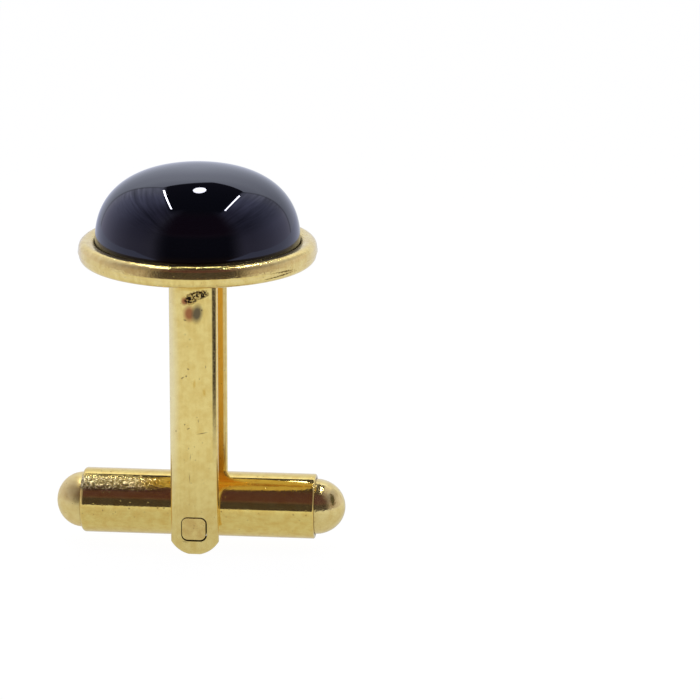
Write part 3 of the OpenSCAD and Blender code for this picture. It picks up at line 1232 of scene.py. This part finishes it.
def makePin():
    finish = platedGold(finishes["pin"])
    places = list(pin["edgePlaces"]) + [None]  # the last ring lies well inside
    verts, faces = [(0, pinLow.y, pinMiddle), (0, pinHigh.y, pinMiddle)], []
    rings = []
    for turn in (-1, 1):
        for place in places[::turn]:
            ring = []
            for i in range(pin["facets"]):
                angle = 2 * math.pi * i / pin["facets"]
                reach = rayToSquare(angle, 0.0)
                out = reach * pin["innerRing"] if place is None else reach - pin["edge"] * place
                x, z = out * math.cos(angle), pinMiddle + out * math.sin(angle)
                inside = -holeDistance(x, z, 0.0)
                fall = crownSag(x) * pin["crown"] + quarterDrop(inside, pin["edge"])
                ring.append(len(verts))
                verts.append((x, turn * (legOut - fall), z))
            rings.append(ring)
    around = roundPairs(pin["facets"])
    for a, b in zip(rings, rings[1:]):
        faces += [(a[i], a[j], b[j], b[i]) for i, j in around]
    for ring, middle in ((rings[0], 0), (rings[-1], 1)):
        faces += [(ring[i], ring[j], middle) for i, j in around]
    mesh = newMesh("pin", verts, faces)
    mesh.transform(Matrix.Translation(pin["offCentre"]))
    mesh.materials.append(finish)
    piece = addObject("pivotPin", mesh)
    tidyNormals(piece, pin["sharpFrom"])
    deep = legOut - pin["dirtDepth"]
    markPoints(piece, "dirtAndPaintedReflection", lambda p: pin["dirtAndPaintedReflection"] if abs(p.y) < deep else 0.0)
    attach(piece, "head_and_post")
    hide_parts("pivot_pin")
    return piece


# The toggle bar

bar = {
    "wall": 0.3 * mm,
    "shoulderLeft": 0.28 * mm,
    "shoulderRight": 0.12 * mm,
    "boreEdge": 0.02 * mm,
    "turningHole": 1.034 * mm,
    "plug": 1.6 * mm,
    "tipGap": 0.03 * mm,
    "facets": 256,
    "rings": [x * mm for x in (-7.2, -6, -4.5, -3, -1.9, -1.3, 1.3, 1.9, 3, 4.5, 6, 7.4)],
    "boreRings": (1.3 * mm, -1.3 * mm),
    "leftSteps": 12,
    "rightSteps": 8,
    "holeFacets": 96,
    "pastWall": 1 * mm,
    "tipSteps": 48,
    "leftSatin": 0.6,
    "rightSatin": 0.12,
    # dirt in the seams at both ends of the barrel, and round the tips
    "seamDirt": 0.9,
    "seamReach": 0.06 * mm,
    "endDepth": 0.1 * mm,
    "tipDirt": 0.45,
    "tipDirtDepth": 0.015 * mm,
}
barAxis = (barrelLow.z + barrelHigh.z) / 2
barRadius = barrelHigh.y
boreRadius = barRadius - bar["wall"]
tipRadius = boreRadius - bar["tipGap"]
barTurn = Matrix.Translation((0, 0, barAxis)) @ Matrix.Rotation(math.radians(90), 4, "Y")


def makeBarrel():
    finish = platedGold(finishes["barrel"])
    left, right = barrelLow.x, barrelHigh.x
    round1, round2, nib = bar["shoulderLeft"], bar["shoulderRight"], bar["boreEdge"]
    outline = [(boreRadius, left + nib)]
    outline += arc((barRadius - round1, left + round1), round1, -90, 0, bar["leftSteps"])
    outline += [(barRadius, x) for x in bar["rings"]]
    outline += arc((barRadius - round2, right - round2), round2, 0, 90, bar["rightSteps"])
    outline += [(boreRadius + nib, right), (boreRadius, right - nib)]
    outline += [(boreRadius, x) for x in (*bar["boreRings"], left + nib)]
    piece = turnPiece("barrel", outline, bar["facets"], finish, barTurn)
    reach = barRadius + bar["pastWall"]
    hole = [(0, -reach), (bar["turningHole"], -reach), (bar["turningHole"], reach), (0, reach)]
    place = Matrix.Translation((0, 0, pinMiddle)) @ Matrix.Rotation(math.radians(90), 4, "X")
    cutter = turnPiece("holeCutter", hole, bar["holeFacets"], finish, place)
    cutOrJoin(piece, cutter, "DIFFERENCE")
    tidyNormals(piece)

    def darkAmount(p):
        out = math.hypot(p.y, p.z - barAxis)
        atEnd = min(abs(p.x - left), abs(p.x - right)) < bar["endDepth"]
        return bar["seamDirt"] * falloff(out - boreRadius, bar["seamReach"]) if atEnd else 0.0

    markPoints(piece, "dirtAndPaintedReflection", darkAmount)
    piece.data.materials.clear()
    piece.data.materials.append(finish)
    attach(piece, "toggle")
    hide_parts("toggle_barrel")
    return piece


def makeTip(name, node, side, reach, finish, satin):
    # a bullet tip: a plug and a dome, and satin says how little it was polished
    out = reach - barrelHigh.x
    steps = bar["tipSteps"]
    outline = [(0, -bar["plug"]), (tipRadius, -bar["plug"]), (tipRadius, 0)]
    for i in range(1, steps + 1):
        a = math.pi / 2 * i / steps
        outline.append((tipRadius * math.cos(a) if i < steps else 0.0, out * math.sin(a)))
    turn = Matrix.Rotation(math.radians(90 * side), 4, "Y")
    place = Matrix.Translation((side * barrelHigh.x, 0, barAxis)) @ turn
    piece = turnPiece(name, outline, bar["facets"], finish, place)
    dirtEnd = barrelHigh.x + bar["tipDirtDepth"]
    markPoints(piece, "dirtAndPaintedReflection", lambda p: bar["tipDirt"] if abs(p.x) < dirtEnd else 0.0)
    markPoints(piece, "unpolishedAndPaintedBounce", lambda p: satin)
    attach(piece, "toggle")
    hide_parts(node)
    return piece


placeCamera()
lightTent()
hangLamps()
layFloor()
layTable()
standPanel()
standCard()
print("camera, light and floor are set")

latheTree = turningTree()
makeSetting()
print("setting and post are made")
makeStone()
makePin()
print("stone and pin are made")
makeBarrel()
tipFinish = platedGold(finishes["tip"])
makeTip("leftTip", "toggle_tip_left", -1, -leftTipEnd, tipFinish, bar["leftSatin"])
makeTip("rightTip", "toggle_tip_right", 1, rightTipEnd, tipFinish, bar["rightSatin"])
print("toggle bar is made")

bpy.context.scene.view_settings.view_transform = "Standard"
